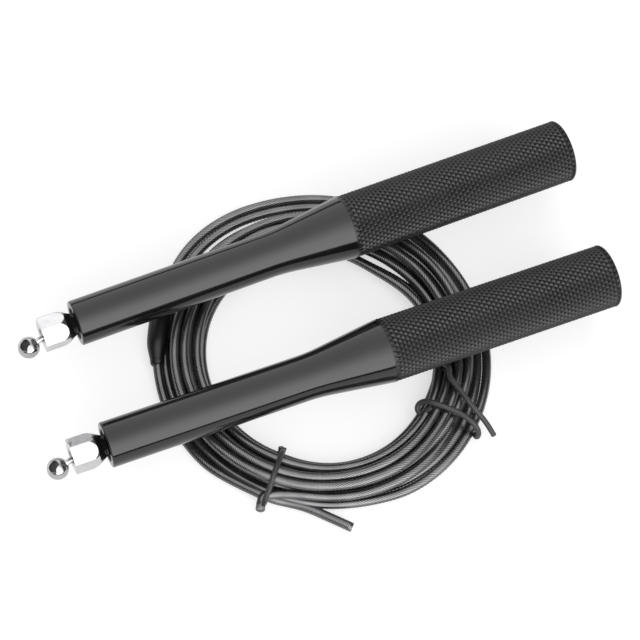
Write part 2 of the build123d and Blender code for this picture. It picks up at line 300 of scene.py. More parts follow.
def coated_cable():
    """Clear smoke-black coat over a steel cable; the wires show as fine slanting lines."""
    finish = Finish("cable_coat", (0.12, 0.12, 0.122), 0.26, 0.92, grain=1500.0, patches=110.0)
    lay = finish.nodes.new("ShaderNodeUVMap")
    lay.uv_map = "lay"
    split = finish.nodes.new("ShaderNodeSeparateXYZ")
    finish.links.new(lay.outputs["UV"], split.inputs["Vector"])
    wave = finish.nodes.new("ShaderNodeMath")
    wave.operation = "SINE"
    turns = finish.nodes.new("ShaderNodeMath")
    turns.operation = "MULTIPLY"
    turns.inputs[1].default_value = math.tau
    finish.links.new(split.outputs["X"], turns.inputs[0])
    finish.links.new(turns.outputs["Value"], wave.inputs[0])
    wires = finish.ranged(wave.outputs["Value"], 0.0, 1.0, -1.0, 1.0)
    patchy = finish.nodes.new("ShaderNodeMath")
    patchy.operation = "MULTIPLY"
    finish.links.new(wires, patchy.inputs[0])
    finish.links.new(finish.ranged(finish.grain.outputs["Patches"], 0.45, 1.0), patchy.inputs[1])
    colour = finish.mixed(patchy.outputs["Value"], (0.060, 0.060, 0.062), (0.330, 0.330, 0.335))
    finish.links.new(colour, finish.shader.inputs["Base Color"])
    finish.rough_between(0.22, 0.32)
    finish.bumped(wires, 0.00005, 0.3)
    finish.shader.inputs["Specular IOR Level"].default_value = 0.9
    finish.shader.inputs["Coat Weight"].default_value = 0.5
    finish.shader.inputs["Coat Roughness"].default_value = 0.14
    return finish.material


def cut_wire():
    finish = Finish("cut_wire_end", (0.40, 0.40, 0.41), 0.38, 1.0, grain=2600.0, patches=900.0)
    finish.coloured_between((0.16, 0.16, 0.165), (0.52, 0.52, 0.53))
    finish.bumped(finish.grain.outputs["Patches"], 0.0001, 0.7)
    return finish.material


satin = satin_black()
knurl = knurled_black()
chrome = polished_chrome()
bearing_steel = ground_steel("bearing_steel", (0.62, 0.62, 0.64), 0.24)
cage_steel = ground_steel("cage_steel", (0.50, 0.48, 0.43), 0.38)
plug_plastic = moulded("plug_plastic", (0.020, 0.020, 0.021), 0.52)
nylon = moulded("natural_nylon", (0.60, 0.585, 0.54), 0.45)
sleeve_rubber = moulded("sleeve_rubber", (0.006, 0.006, 0.0065), 0.34, 1900.0)
tie_coat = moulded("tie_coat", (0.045, 0.045, 0.046), 0.44, 1700.0)
cable_coat = coated_cable()
cable_core = cut_wire()

FINISH_OF_SLOT = {
    "black_anodised": satin,
    "plug_plastic": plug_plastic,
    "chrome": chrome,
    "nylon": nylon,
    "cage_steel": cage_steel,
    "bearing_steel": bearing_steel,
    "cable_coat": cable_coat,
    "sleeve_rubber": sleeve_rubber,
    "tie_coat": tie_coat,
}


def dress_cad_nodes():
    """Every piece of the frame takes the finish of its material slot."""
    for part in frame["record"]["subparts"]:
        node = frame["nodes"][part["node"]]
        node.data.materials.clear()
        node.data.materials.append(FINISH_OF_SLOT[part["material_slot"]])


# ---------------------------------------------------------------- mesh helpers


def mesh_piece(name, points, faces, materials, sharp=35.0):
    """Smooth-shaded mesh object; points in metres."""
    mesh = bpy.data.meshes.new(name)
    mesh.from_pydata([tuple(point) for point in points], [], faces)
    mesh.update()
    piece = bpy.data.objects.new(name, mesh)
    scene.collection.objects.link(piece)
    for material in materials:
        mesh.materials.append(material)
    mesh.polygons.foreach_set("use_smooth", [True] * len(mesh.polygons))
    if sharp is not None:
        mesh.set_sharp_from_angle(angle=math.radians(sharp))
    return piece


def final_mesh(holder):
    """New mesh of an object's shape after its modifiers or its curve settings."""
    bpy.context.view_layer.update()
    return bpy.data.meshes.new_from_object(holder.evaluated_get(bpy.context.evaluated_depsgraph_get()))


def round_point(along, radius, angle):
    """Point at an angle round the local X axis."""
    return Vector((along, radius * math.cos(angle), radius * math.sin(angle)))


def axis_frame(side):
    """Matrix from a handle's own millimetres, along +X from its front face, to the shared frame."""
    spin = joints[f"{side}_spin"]
    along = Vector(spin["axis"]).normalized()
    across = Vector((0, 0, 1)).cross(along)
    place = Matrix((along, across, Vector((0, 0, 1)))).transposed().to_4x4()
    place.translation = Vector(spin["pos_m"])
    return place @ Matrix.Scale(MM, 4)


def ring_faces(first, second, count, faces, flip=False):
    for i in range(count):
        j = (i + 1) % count
        face = (first + i, first + j, second + j, second + i)
        faces.append(face[::-1] if flip else face)


# ---------------------------------------------------------------- handles


def knurl_height(u, v):
    """Height of the diamond pattern from 0 in a groove to 1 on a point."""
    across = min(abs(u - round(u)), abs(v - round(v))) * 2.0
    return min(1.0, across * 1.18) ** 0.9


def handle_body(side):
    """Turned tube with its cut knurl, its taper and its stepped bore."""
    count = KNURL_STEPS * KNURL_ROUND
    points, faces = [], []
    place = axis_frame(side)

    def ring(along, radius, turn=0.0):
        start = len(points)
        for i in range(count):
            angle = math.tau * (i + turn) / count
            points.append(place @ round_point(along, radius, angle))
        return start

    def join(rings):
        for first, second in zip(rings, rings[1:]):
            ring_faces(first, second, count, faces, flip=True)

    smooth = [(0.0, FRONT_RADIUS - FRONT_EDGE)]
    for i in range(1, 5):
        turn = math.radians(22.5 * i)
        smooth.append((FRONT_EDGE * (1 - math.cos(turn)), FRONT_RADIUS - FRONT_EDGE * (1 - math.sin(turn))))
    for i in range(1, 14):
        smooth.append((FRONT_EDGE + (FRONT_LENGTH - TAPER_BLEND - FRONT_EDGE) * i / 13, FRONT_RADIUS))
    slope = (GRIP_RADIUS - FRONT_RADIUS) / (GRIP_START - FRONT_LENGTH)
    for i in range(1, 9):
        step = 2 * TAPER_BLEND * i / 8
        rise = slope * step * step / (4 * TAPER_BLEND)
        smooth.append((FRONT_LENGTH - TAPER_BLEND + step, FRONT_RADIUS + rise))
    for i in range(1, 9):
        along = FRONT_LENGTH + TAPER_BLEND + (GRIP_START - FRONT_LENGTH - TAPER_BLEND) * i / 8
        smooth.append((along, FRONT_RADIUS + slope * (along - FRONT_LENGTH)))
    join([ring(*station) for station in smooth])

    knurl_start = GRIP_START
    knurl_end = HANDLE_LENGTH - REAR_ROUND
    step_length = KNURL_PITCH / (2 * KNURL_STEPS)
    rows = int((knurl_end - knurl_start) / step_length)
    step_length = (knurl_end - knurl_start) / rows
    starts = []
    for row in range(rows + 1):
        start = len(points)
        starts.append(start)
        fade = min(1.0, row * step_length / KNURL_FADE, (rows - row) * step_length / 0.5)
        for i in range(count):
            turn = i + 0.5 * (row % 2)
            angle = math.tau * turn / count
            u = (2 * turn + row) / (2 * KNURL_STEPS)
            v = (2 * turn - row) / (2 * KNURL_STEPS)
            radius = GRIP_RADIUS - KNURL_DEPTH * fade * (1 - knurl_height(u, v))
            along = knurl_start + row * step_length
            points.append(place @ round_point(along, radius, angle))
    for row in range(rows - 1):
        shift = row % 2
        for i in range(count):
            left = starts[row + 1] + (i - 1 + shift) % count
            right = starts[row + 1] + (i + shift) % count
            faces.append((starts[row] + i, left, starts[row + 2] + i, right))
    for i in range(count):
        nxt = (i + 1) % count
        faces.append((starts[0] + i, starts[1] + i, starts[0] + nxt))
        last = rows % 2
        tip = starts[rows - 1] + ((i + last) % count if last else nxt)
        faces.append((starts[rows] + i, starts[rows] + nxt, tip))

    tail = []
    for i in range(0, 9):
        turn = math.radians(90 * i / 8)
        along = knurl_end + REAR_ROUND * math.sin(turn)
        tail.append((along, GRIP_RADIUS - REAR_ROUND * (1 - math.cos(turn))))
    tail += [(HANDLE_LENGTH, GRIP_BORE + REAR_CHAMFER), (HANDLE_LENGTH - REAR_CHAMFER, GRIP_BORE)]
    tail += [(HANDLE_LENGTH - 20.0, GRIP_BORE), (BORE_STEP, GRIP_BORE), (BORE_STEP, TUBE_BORE)]
    tail += [(55.0, TUBE_BORE), (BEARING_SEAT_END, TUBE_BORE), (BEARING_SEAT_END, BEARING_SEAT)]
    tail += [(RIB_END, BEARING_SEAT), (RIB_END, RIB_BORE), (RIB_START, RIB_BORE), (RIB_START, BEARING_SEAT)]
    tail += [(MOUTH_CHAMFER, BEARING_SEAT), (0.0, BEARING_SEAT + MOUTH_CHAMFER)]
    turned = [ring(*station, turn=0.5 * (rows % 2) if i == 0 else 0.0) for i, station in enumerate(tail)]
    join(turned)
    join([turned[-1], 0])
    piece = mesh_piece(f"{side}_handle", points, faces, [satin, knurl], sharp=None)
    mesh = piece.data
    tidy = bmesh.new()
    tidy.from_mesh(mesh)
    bmesh.ops.remove_doubles(tidy, verts=tidy.verts, dist=1e-7)
    tidy.to_mesh(mesh)
    tidy.free()
    for polygon in mesh.polygons:
        middle = place.inverted() @ polygon.center
        outside = math.hypot(middle.y, middle.z) > GRIP_BORE + 1
        cut = knurl_start + 0.02 < middle.x < knurl_end - 0.02 and outside
        polygon.material_index = 1 if cut else 0
        polygon.use_smooth = not cut
    mesh.set_sharp_from_angle(angle=math.radians(30))
    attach(piece, f"{side}_handle")
    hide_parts(f"{side}_handle_body")


HEX_ROLL = {"left": 35.0, "right": 20.0}
CORNER_BEVEL = 0.06
FACE_BEVEL = 0.12


def hex_housing(side):
    """Hexagon with softened edges, corners turned to a cone at the rear, and an open socket in front."""
    count = 240
    place = axis_frame(side)
    points, faces = [], []
    corner = HEX_FLATS / math.sqrt(3)
    rear_radius = HEX_FLATS / 2 - 0.05

    def flat_radius(angle):
        step = math.pi / 3
        near = (angle - math.radians(HEX_ROLL[side])) % step - step / 2
        true = HEX_FLATS / 2 / math.cos(near)
        rounded = corner - CORNER_BEVEL
        return min(true, rounded + 0.25 * max(0.0, true - rounded))

    def turned_limit(along):
        front = corner - FACE_BEVEL + (along - HEX_FRONT) * 0.9
        share = (HEX_REAR - along) / HEX_CONE
        rear = rear_radius + (corner + 0.15 - rear_radius) * min(1.0, max(0.0, share)) ** 0.8
        return min(front, rear) if share < 1.0 else front

    def ring(radius_at, along):
        start = len(points)
        for i in range(count):
            angle = math.tau * i / count
            radius = radius_at(angle)
            points.append(place @ round_point(along, radius, angle))
        return start

    def soft_min(first, second, width):
        gap = max(0.0, width - abs(first - second)) / width
        return min(first, second) - gap * gap * width / 4

    rings = [ring(lambda angle: MOUTH_RADIUS + 0.35, HEX_FRONT + 0.02)]
    stations = [HEX_FRONT + 0.02 * i for i in range(1, 3)]
    stations += [HEX_FRONT + 0.04 + (HEX_REAR - HEX_CONE - HEX_FRONT - 0.04) * i / 16 for i in range(1, 17)]
    stations += [HEX_REAR - HEX_CONE + HEX_CONE * i / 28 for i in range(1, 29)]
    rings.append(ring(lambda angle: min(flat_radius(angle), corner - FACE_BEVEL) - 0.07, HEX_FRONT))
    for along in stations:
        limit = turned_limit(along)
        rings.append(ring(lambda angle, limit=limit: soft_min(flat_radius(angle), limit, 0.10), along))
    inner = [(HEX_REAR, SPIGOT_RADIUS), (PIVOT, SPIGOT_RADIUS), (PIVOT, SOCKET_RADIUS)]
    mouth_depth = math.sqrt(SOCKET_RADIUS ** 2 - MOUTH_RADIUS ** 2)
    for i in range(1, 7):
        along = mouth_depth * i / 6
        inner.append((PIVOT - along, math.sqrt(SOCKET_RADIUS ** 2 - along ** 2)))
    inner += [(HEX_FRONT + 0.30, MOUTH_RADIUS), (HEX_FRONT + 0.10, MOUTH_RADIUS + 0.10)]
    for along, radius in inner:
        rings.append(ring(lambda angle, radius=radius: radius, along))
    rings.append(rings[0])
    for first, second in zip(rings, rings[1:]):
        ring_faces(first, second, count, faces, flip=True)
    piece = mesh_piece(f"{side}_hex", points, faces, [chrome], sharp=50.0)
    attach(piece, f"{side}_rotor")
    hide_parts(f"{side}_hex_housing")


ROPE_BALL_RADIUS = 3.3
CABLE_HOLE_RADIUS = 1.6
HOLE_LIP = 0.22              # rounding between the ball and its cable hole
NECK_RADIUS = 0.9
CLAMP_RADIUS = 1.0
SOCKET_PLAY = 0.982          # socket ball's radius as a share of the socket's
CUTTER_SIDES = 40
NECK_SIDES = 48
# (distance from the ball's centre, radius) of the clamp hole's cutter
CLAMP_CUTTER = [
    (1.75, 1e-3), (1.75, CLAMP_RADIUS), (3.1, CLAMP_RADIUS),
    (4.0, CLAMP_RADIUS + 0.9), (4.0, 1e-3),
]
# (distance from the socket ball's centre, radius) of the neck
NECK = [
    (0.0, NECK_RADIUS), (2.75, NECK_RADIUS), (4.6, NECK_RADIUS),
    (5.0, NECK_RADIUS + 0.06), (5.5, NECK_RADIUS + 0.4),
]


def bore_with_painted_shade():
    """Drilled steel, dull, coloured near black inside the cable hole and the clamp hole as painted shade."""
    finish = Finish("drilled_bore_painted_shade", (0.015, 0.015, 0.016), 0.5, 0.3, grain=1800.0, patches=500.0)
    finish.coloured_between((0.008, 0.008, 0.0085), (0.025, 0.025, 0.026))
    finish.bumped(finish.grain.outputs["Grain"], 0.00004, 0.5)
    return finish.material


bore = bore_with_painted_shade()


def lathe_points(place, profile, count):
    """Rings of points round the local X axis; a profile point is (along, radius)."""
    points, starts = [], []
    for along, radius in profile:
        starts.append(len(points))
        for i in range(count):
            angle = math.tau * i / count
            points.append(place @ round_point(along, radius, angle))
    return points, starts


def facing_matrix(origin, along):
    """Matrix whose X runs along a direction from an origin given in metres."""
    along = along.normalized()
    helper = Vector((0, 0, 1)) if abs(along.z) < 0.9 else Vector((0, 1, 0))
    across = helper.cross(along).normalized()
    place = Matrix((along, across, along.cross(across))).transposed().to_4x4()
    place.translation = origin
    return place @ Matrix.Scale(MM, 4)


def ball_link(side):
    """Socket ball, neck and drilled rope ball."""
    mounts = {mount["name"]: mount for mount in frame["record"]["mounts"]}
    hole = mounts[f"{side}_cable_hole"]
    centre = Vector(hole["pos_m"])
    pivot = Vector(joints[f"{side}_link_tilt"]["pos_m"])
    outward = (centre - pivot).normalized()
    count = 72
    radius, drill = ROPE_BALL_RADIUS, CABLE_HOLE_RADIUS
    half = math.sqrt(radius ** 2 - (drill + HOLE_LIP) ** 2)
    reach = math.acos((drill + HOLE_LIP) / radius)
    profile = []
    for i in range(33):
        turn = -reach + 2 * reach * i / 32
        profile.append((radius * math.sin(turn), radius * math.cos(turn)))
    profile += [(half - 0.08, drill + 0.08), (half - 0.25, drill)]
    profile += [((half - 0.25) * (1 - 2 * i / 8), drill) for i in range(1, 9)]
    profile += [(-half + 0.08, drill + 0.08)]
    points, starts = lathe_points(facing_matrix(centre, Vector(hole["axis"])), profile, count)
    faces = []
    for first, second in zip(starts, starts[1:] + starts[:1]):
        ring_faces(first, second, count, faces, flip=True)
    ball = mesh_piece(f"{side}_link", points, faces, [chrome, bore], None)
    nose_place = facing_matrix(centre, outward)
    cutter_points, cutter_starts = lathe_points(nose_place, CLAMP_CUTTER, CUTTER_SIDES)
    cutter_faces = []
    for first, second in zip(cutter_starts, cutter_starts[1:]):
        ring_faces(first, second, CUTTER_SIDES, cutter_faces, flip=True)
    cutter_faces.append(tuple(range(cutter_starts[0], cutter_starts[0] + CUTTER_SIDES)))
    cutter_faces.append(tuple(reversed(range(cutter_starts[-1], cutter_starts[-1] + CUTTER_SIDES))))
    cutter = mesh_piece("clamp_cutter", cutter_points, cutter_faces, [bore], None)
    drill_out = ball.modifiers.new("clamp_hole", "BOOLEAN")
    drill_out.object = cutter
    drill_out.operation = "DIFFERENCE"
    drill_out.solver = "EXACT"
    cut = final_mesh(ball)
    ball.modifiers.clear()
    bpy.data.objects.remove(cutter)
    socket = []
    for i in range(25):
        turn = math.pi * (i + 0.15) / 24.3
        along = -SOCKET_RADIUS * math.cos(turn) * SOCKET_PLAY
        socket.append((along, SOCKET_RADIUS * math.sin(turn) * SOCKET_PLAY))
    merged = bmesh.new()
    merged.from_mesh(cut)
    for outline in (NECK, socket):
        extra, rings = lathe_points(facing_matrix(pivot, outward), outline, NECK_SIDES)
        made = [merged.verts.new(point) for point in extra]
        for first, second in zip(rings, rings[1:]):
            for i in range(NECK_SIDES):
                j = (i + 1) % NECK_SIDES
                merged.faces.new((made[first + j], made[first + i], made[second + i], made[second + j]))
        merged.faces.new([made[rings[0] + i] for i in range(NECK_SIDES)])
        merged.faces.new([made[rings[-1] + NECK_SIDES - 1 - i] for i in range(NECK_SIDES)])
    bmesh.ops.recalc_face_normals(merged, faces=merged.faces)
    merged.to_mesh(ball.data)
    merged.free()
    back = facing_matrix(centre, Vector(hole["axis"])).inverted()
    nose = nose_place.inverted()
    for polygon in ball.data.polygons:
        middle = back @ polygon.center
        front = nose @ polygon.center
        in_bore = math.hypot(middle.y, middle.z) < drill + 0.03 and abs(middle.x) < half
        in_clamp = math.hypot(front.y, front.z) < CLAMP_RADIUS + 0.02 and front.x > 1.5
        # faces inside the cable hole and the clamp hole take the near-black painted shade
        polygon.material_index = 1 if in_bore or in_clamp else 0
        polygon.use_smooth = True
    ball.data.set_sharp_from_angle(angle=math.radians(30))
    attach(ball, f"{side}_link")
    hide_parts(f"{side}_ball_link")


# ---------------------------------------------------------------- cable


def swell(angle, middle, width):
    """Smooth hump of height 1 round an angle in degrees."""
    gap = (angle - middle + 180) % 360 - 180
    return math.exp(-((gap / width) ** 2))


def soft_step(share):
    return share * share * (3 - 2 * share)


def smooth_table(angle, table):
    """Value at an angle from a few (angle, value) pairs, with soft joins."""
    for (first, low), (second, high) in zip(table, table[1:]):
        if first <= angle <= second:
            share = (angle - first) / (second - first)
            return low + (high - low) * soft_step(share)
    return table[-1][1] if angle > table[-1][0] else table[0][1]


# radius and height of each turn's place in the bundle, in the order the cable was wound
PLACES = [
    (46.9, 4.2), (43.8, 4.2), (45.3, 6.8), (42.2, 6.8), (40.6, 4.2), (37.6, 4.2),
    (36.6, 1.6), (39.2, 1.6), (42.3, 1.6), (45.3, 1.6), (48.3, 1.6), (51.0, 1.6),
]
# the last turn runs along the outside: its angle and radius
LAST_TURN = [
    (-133, 47.6), (-97, 48.2), (-82, 50.7), (-50, 51.3), (-24, 51.8), (12, 52.2), (40, 53.2), (60, 54.2),
    (82, 53.9), (98, 54.9), (113, 55.2), (127, 53.4), (142, 50.7), (170, 50.5), (200, 50.4), (218, 49.8),
    (228, 49.5),
]


def floor_under(angle):
    """Lowest centre height of a strand: the ties' undersides lift the bundle a little."""
    lift = max(swell(angle, LEFT_TIE_ANGLE, 13), swell(angle, RIGHT_TIE_ANGLE + 5, 20))
    return CABLE_RADIUS + 0.06 + 1.55 * lift


def roof_over(angle):
    """Highest centre height of a strand under the handles."""
    x = 44.0 * math.cos(math.radians(angle))
    return 9.1 - 0.035 * x if x < 5 else min(7.0, 9.1 - 0.05 * x)


WANDER = (0.22, 0.14)        # uneven lay of a strand, outward and upward
SETTLE_ROUNDS = 420
SINK = 0.012                 # how far a strand settles in one round
SMOOTHING = 0.22
PUSH = 0.62                  # share of an overlap cleared in one round
LOW_CENTRE = 1.6             # height of a strand that lies on the floor


def coil_route():
    """Control points of the cable's turns, settled so that strands lie on and beside each other."""
    rng = np.random.default_rng(7)
    total = TURNS * STATIONS
    angles = np.array([COIL_START + 360.0 * i / STATIONS for i in range(total)])
    steps = np.arange(total)
    turn = steps // STATIONS
    wander = np.zeros((total, 2))
    for harmonic in range(1, 40):
        phase = rng.uniform(0, math.tau, 2)
        size = rng.normal(0, 1, 2) * (1.0 if harmonic > 9 else 0.5)
        for axis in range(2):
            wander[:, axis] += size[axis] * np.sin(math.tau * harmonic * steps / total + phase[axis])
    wander *= np.array(WANDER)
    goal = np.zeros((total, 2))
    shift_at = rng.uniform(40, 330, TURNS)
    for i in range(total):
        k = int(turn[i])
        travelled = (angles[i] - COIL_START) % 360
        share = soft_step(min(1.0, max(0.0, (travelled - shift_at[k] + 45) / 90)))
        first, second = np.array(PLACES[k]), np.array(PLACES[k + 1])
        goal[i] = first + (second - first) * share + wander[i]
        side = swell(angles[i], 178, 62)
        goal[i, 0] = 44.2 + (goal[i, 0] - 44.2) * (1 - 0.13 * side)
        goal[i, 1] *= 1 + 0.25 * side
        beside = TURNS - 1 - k
        if beside in (1, 2, 3):
            spread = smooth_table(travelled + COIL_START, LAST_TURN) - beside * (2 * CABLE_RADIUS - 0.25)
            pull = 1.0 if beside == 1 else swell(angles[i], 102, 32)
            goal[i] += (np.array([spread, LOW_CENTRE]) - goal[i]) * pull
    last = turn == TURNS - 1
    table_angle = np.where(last, (angles - COIL_START) % 360 + COIL_START, 0)
    for i in np.nonzero(last)[0]:
        height = LOW_CENTRE + 1.75 * smooth_table(table_angle[i], [(128, 0), (140, 1), (164, 1), (174, 0)])
        goal[i] = (smooth_table(table_angle[i], LAST_TURN), height)
    for k in (5, 6):
        for i in np.nonzero(turn == k)[0]:
            goal[i, 0] -= (5.3 if k == 5 else 4.0) * swell(angles[i], 36, 24)
    place = goal.copy()
    weight = np.where(last, 0.30, np.where(turn == TURNS - 2, 0.16, 0.03))
    for k in (5, 6):
        pick = turn == k
        weight[pick] += 0.25 * np.array([swell(angle, 36, 22) for angle in angles[pick]])
    low = np.array([floor_under(angle) for angle in angles])
    high = np.array([roof_over(angle) for angle in angles])
    apart = 2 * CABLE_RADIUS + 0.04
    for _ in range(SETTLE_ROUNDS):
        place += weight[:, None] * (goal - place)
        place[:, 1] -= SINK
        middle = place.copy()
        middle[1:-1] = 0.5 * (place[:-2] + place[2:])
        place += SMOOTHING * (middle - place)
        grid = place.reshape(TURNS, STATIONS, 2)
        gap = grid[:, None] - grid[None, :]
        length = np.sqrt((gap ** 2).sum(-1)) + 1e-9
        push = np.clip(apart - length, 0, None) * 0.5
        push[np.arange(TURNS), np.arange(TURNS)] = 0
        move = (gap / length[..., None]) * push[..., None]
        grid = grid + PUSH * move.sum(1)
        place = grid.reshape(total, 2)
        place[:, 1] = np.clip(place[:, 1], low, high)
    radians = np.radians(angles)
    grow = 1 / math.cos(math.pi / STATIONS)
    flat = np.stack([place[:, 0] * np.cos(radians), place[:, 0] * np.sin(radians)], 1) * grow
    return [(float(x), float(y), float(z)) for (x, y), z in zip(flat, place[:, 1])]


# the loose end on the floor
TAIL = [(-33.2, -36.8), (-28.9, -39.6), (-23.8, -43.2), (-18.8, -48.6), (-13.4, -54.4)]


def cable_route():
    """The whole cable: its bent start, its turns and its straight tail on the floor."""
    start = [(-37.6, -39.9, 5.5), (-36.6, -38.0, 4.5), (-34.6, -35.6, 4.4)]
    turns = coil_route()
    tail = [(x, y, CABLE_RADIUS + 0.05) for x, y in TAIL]
    tail[0] = (*TAIL[0], turns[-1][2] * 0.5 + 0.9)
    route = start + turns[1:-1] + tail
    return [Vector(point) * MM for point in route]


def smooth_line(name, route, resolution=8):
    """Points read from the NURBS spline through a route."""
    curve = bpy.data.curves.new(name, "CURVE")
    curve.dimensions = "3D"
    spline = curve.splines.new("NURBS")
    spline.points.add(len(route) - 1)
    for control, point in zip(spline.points, route):
        control.co = (*point, 1.0)
    spline.order_u = 3
    spline.use_endpoint_u = True
    spline.resolution_u = resolution
    holder = bpy.data.objects.new(name, curve)
    scene.collection.objects.link(holder)
    mesh = final_mesh(holder)
    line = [vertex.co.copy() for vertex in mesh.vertices]
    bpy.data.objects.remove(holder)
    bpy.data.curves.remove(curve)
    bpy.data.meshes.remove(mesh)
    return line


def line_length(line):
    return sum((second - first).length for first, second in zip(line, line[1:]))


def even_line(line, step):
    """The same line with points a step apart."""
    points = np.array([tuple(point) for point in line])
    lengths = np.concatenate([[0], np.cumsum(np.linalg.norm(np.diff(points, axis=0), axis=1))])
    count = max(2, int(round(lengths[-1] / step)) + 1)
    marks = np.linspace(0, lengths[-1], count)
    return [Vector([float(np.interp(mark, lengths, points[:, axis])) for axis in range(3)]) for mark in marks]


def frames_along(line):
    """(tangent, side, up) at each point, carried along without twist."""
    tangents = []
    for i in range(len(line)):
        ahead = line[min(i + 1, len(line) - 1)] - line[max(i - 1, 0)]
        tangents.append(ahead.normalized())
    side = tangents[0].cross(Vector((0, 0, 1)))
    side = side.normalized() if side.length > 1e-6 else Vector((1, 0, 0))
    frames = []
    for tangent in tangents:
        side = (side - tangent * side.dot(tangent)).normalized()
        frames.append((tangent, side, tangent.cross(side)))
    return frames


def tube(name, line, section, materials, caps, sharp=40.0, core=None):
    """Tube along a line. section(share, mark) gives its (side, up) points in metres at that place.

    Each cap is a list of (scale, outward shift) rings that close an end.
    """
    frames = frames_along(line)
    points, faces, slots = [], [], []
    starts = []
    travelled = 0.0
    for i, (point, (tangent, side, up)) in enumerate(zip(line, frames)):
        if i:
            travelled += (point - line[i - 1]).length
        starts.append(len(points))
        outline = section(i / (len(line) - 1), travelled)
        for a, b in outline:
            points.append(point + side * a + up * b)
    count = len(outline)
    for first, second in zip(starts, starts[1:]):
        ring_faces(first, second, count, faces, flip=False)
        slots.extend([0] * count)
    for end, direction in ((0, -1), (len(line) - 1, 1)):
        previous = starts[end]
        centre = line[end]
        tangent = frames[end][0] * direction
        rim = [points[previous + i].copy() for i in range(count)]
        for number, (scale, out) in enumerate(caps):
            start = len(points)
            for point in rim:
                points.append(centre + (point - centre) * scale + tangent * out)
            ring_faces(previous, start, count, faces, flip=(direction < 0))
            slots.extend([1 if core and number >= core else 0] * count)
            previous = start
        tip = len(points)
        points.append(centre + tangent * caps[-1][1])
        for i in range(count):
            face = (previous + i, previous + (i + 1) % count, tip)
            faces.append(face[::-1] if direction < 0 else face)
            slots.append(1 if core else 0)
    piece = mesh_piece(name, points, faces, materials, sharp)
    piece.data.polygons.foreach_set("material_index", slots)
    return piece, starts, count


def cable_section(share, mark):
    """Coat that sinks a little between the strands it covers, turned by the cable's lay."""
    outline = []
    count = 3 * STRAND_COUNT
    turn = math.tau * mark / (STRAND_PITCH * MM)
    for i in range(count):
        angle = math.tau * i / count
        radius = (CABLE_RADIUS - 0.014 * (1 - math.cos(STRAND_COUNT * angle)) / 2) * MM
        outline.append((radius * math.cos(angle + turn), radius * math.sin(angle + turn)))
    return outline


def cable():
    route = cable_route()
    line = smooth_line("cable_route", route)
    length = line_length(line)
    line = even_line(line, 1.15 * MM)
    caps = ((0.97, 0.05 * MM), (0.86, 0.08 * MM), (0.56, 0.08 * MM), (0.54, -0.04 * MM), (0.30, 0.03 * MM))
    materials = [cable_coat, cable_core]
    piece, starts, count = tube("cable", line, cable_section, materials, caps, sharp=50.0, core=3)
    lay = piece.data.uv_layers.new(name="lay")
    wall = len(starts) * count
    for polygon in piece.data.polygons:
        places = [divmod(vertex, count) if vertex < wall else (0, 0) for vertex in polygon.vertices]
        columns = [column for _, column in places]
        wrap = max(columns) - min(columns) > count / 2
        for loop, (row, column) in zip(polygon.loop_indices, places):
            if wrap and column < count / 2:
                column += count
            lay.data[loop].uv = (column / count * WIRE_LINES, row * 0.01)
    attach(piece, "rope")
    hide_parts("cable_coil", "cable_tail")
    return piece, line, length


# ---------------------------------------------------------------- sleeve and ties


def round_section(radius, count, grow=lambda share, mark: 1.0):
    def section(share, mark):
        size = radius * MM * grow(share, mark)
        angles = [math.tau * i / count for i in range(count)]
        return [(size * math.cos(angle), size * math.sin(angle)) for angle in angles]

    return section


def points_between(line, first_angle, last_angle):
    """Part of the cable's last turn between two angles."""
    kept = []
    for point in line[int(len(line) * 0.90):]:
        angle = math.degrees(math.atan2(point.y, point.x)) % 360
        if first_angle <= angle <= last_angle:
            kept.append(point.copy())
    return kept


def cable_sleeve(line):
    """Smooth rubber sleeve pushed over the outer turn, with a rolled lip at each end."""
    along = even_line(points_between(line, 139.0, 163.5), 0.3 * MM)

    def grow(share, mark):
        total = 0.3 * (len(along) - 1)
        near = min(mark / MM, total - mark / MM)
        thin = max(0.0, 1 - (total - mark / MM) / 8.0)
        lip = 0.03 * math.exp(-((near - 1.2) / 0.5) ** 2)
        return 0.985 + lip - 0.10 * max(0.0, 1 - near / 0.5) ** 2 - 0.34 * thin * thin * (3 - 2 * thin)

    caps = ((0.93, 0.10 * MM), (0.62, 0.12 * MM), (0.50, -0.30 * MM))
    piece, _, _ = tube("cable_sleeve_rubber", along, round_section(3.2, 40, grow), [sleeve_rubber], caps)
    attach(piece, "rope")
    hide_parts("cable_sleeve")
    return piece


def bundle_outline(line, angle):
    """(r, z) points, in millimetres, of a tight loop round the strands where they pass an angle."""
    centres = []
    facing = Vector((math.cos(math.radians(angle)), math.sin(math.radians(angle)), 0))
    across = Vector((-facing.y, facing.x, 0))
    for first, second in zip(line, line[1:]):
        a, b = first.dot(across), second.dot(across)
        if a * b <= 0 and first.dot(facing) > 0 and a != b:
            point = first + (second - first) * (a / (a - b))
            centres.append((point.dot(facing) / MM, point.z / MM))
    cloud = []
    reach = CABLE_RADIUS + TIE_RADIUS
    for r, z in centres:
        for i in range(24):
            turn = math.tau * i / 24
            cloud.append((r + reach * math.cos(turn), z + reach * math.sin(turn)))
    cloud = sorted(set(cloud))

    def half(points):
        kept = []
        for point in points:
            while len(kept) > 1:
                (ax, ay), (bx, by) = kept[-2], kept[-1]
                if (bx - ax) * (point[1] - ay) - (by - ay) * (point[0] - ax) > 0:
                    break
                kept.pop()
            kept.append(point)
        return kept[:-1]

    return half(cloud) + half(cloud[::-1])


def outline_point(outline, share):
    """Point a share of the way round a closed outline."""
    loop = outline + outline[:1]
    lengths = [math.dist(a, b) for a, b in zip(loop, loop[1:])]
    mark = (share % 1.0) * sum(lengths)
    for (a, b), length in zip(zip(loop, loop[1:]), lengths):
        if mark <= length and length > 0:
            return a[0] + (b[0] - a[0]) * mark / length, a[1] + (b[1] - a[1]) * mark / length
        mark -= length
    return loop[0]


def at(angle, r, z):
    return Vector((r * math.cos(math.radians(angle)), r * math.sin(math.radians(angle)), z)) * MM


